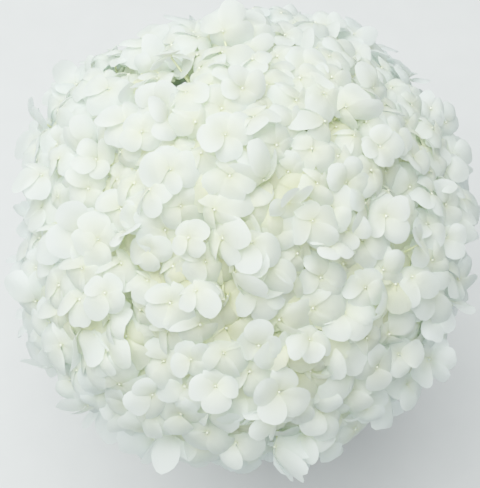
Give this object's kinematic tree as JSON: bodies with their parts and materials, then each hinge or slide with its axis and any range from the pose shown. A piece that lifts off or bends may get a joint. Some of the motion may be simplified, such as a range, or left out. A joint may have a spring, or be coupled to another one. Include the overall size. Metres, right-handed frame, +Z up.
{
  "type": "hydrangeas in a vase",
  "caption": "Round bouquet of white mophead hydrangeas on green stems, standing in the water of a plain clear glass vase.",
  "frame": {"origin": "middle of the vase's underside, on the surface that it stands on", "axes": "+Z up along the vase's axis; -Y is the front, the side that the picture's camera looks from; +X to the right"},
  "size_m": [0.2663, 0.2704, 0.3651],
  "materials": {
    "sepals": "matte, silky white sepals with a cool green-grey cast in the shade",
    "stems": "fresh green stems, satin",
    "water": "clear water",
    "glass": "clear, polished"
  },
  "bodies": {
    "root": {"head_crown": "sepals", "head_right_back": "sepals", "head_back": "sepals", "head_left_back": "sepals", "head_left_front": "sepals", "head_front": "sepals", "head_right_front": "sepals", "stem_crown": "stems", "stem_right_back": "stems", "stem_back": "stems", "stem_left_back": "stems", "stem_left_front": "stems", "stem_front": "stems", "stem_right_front": "stems", "water": "water", "vase": "glass"}
  },
  "joints": []
}
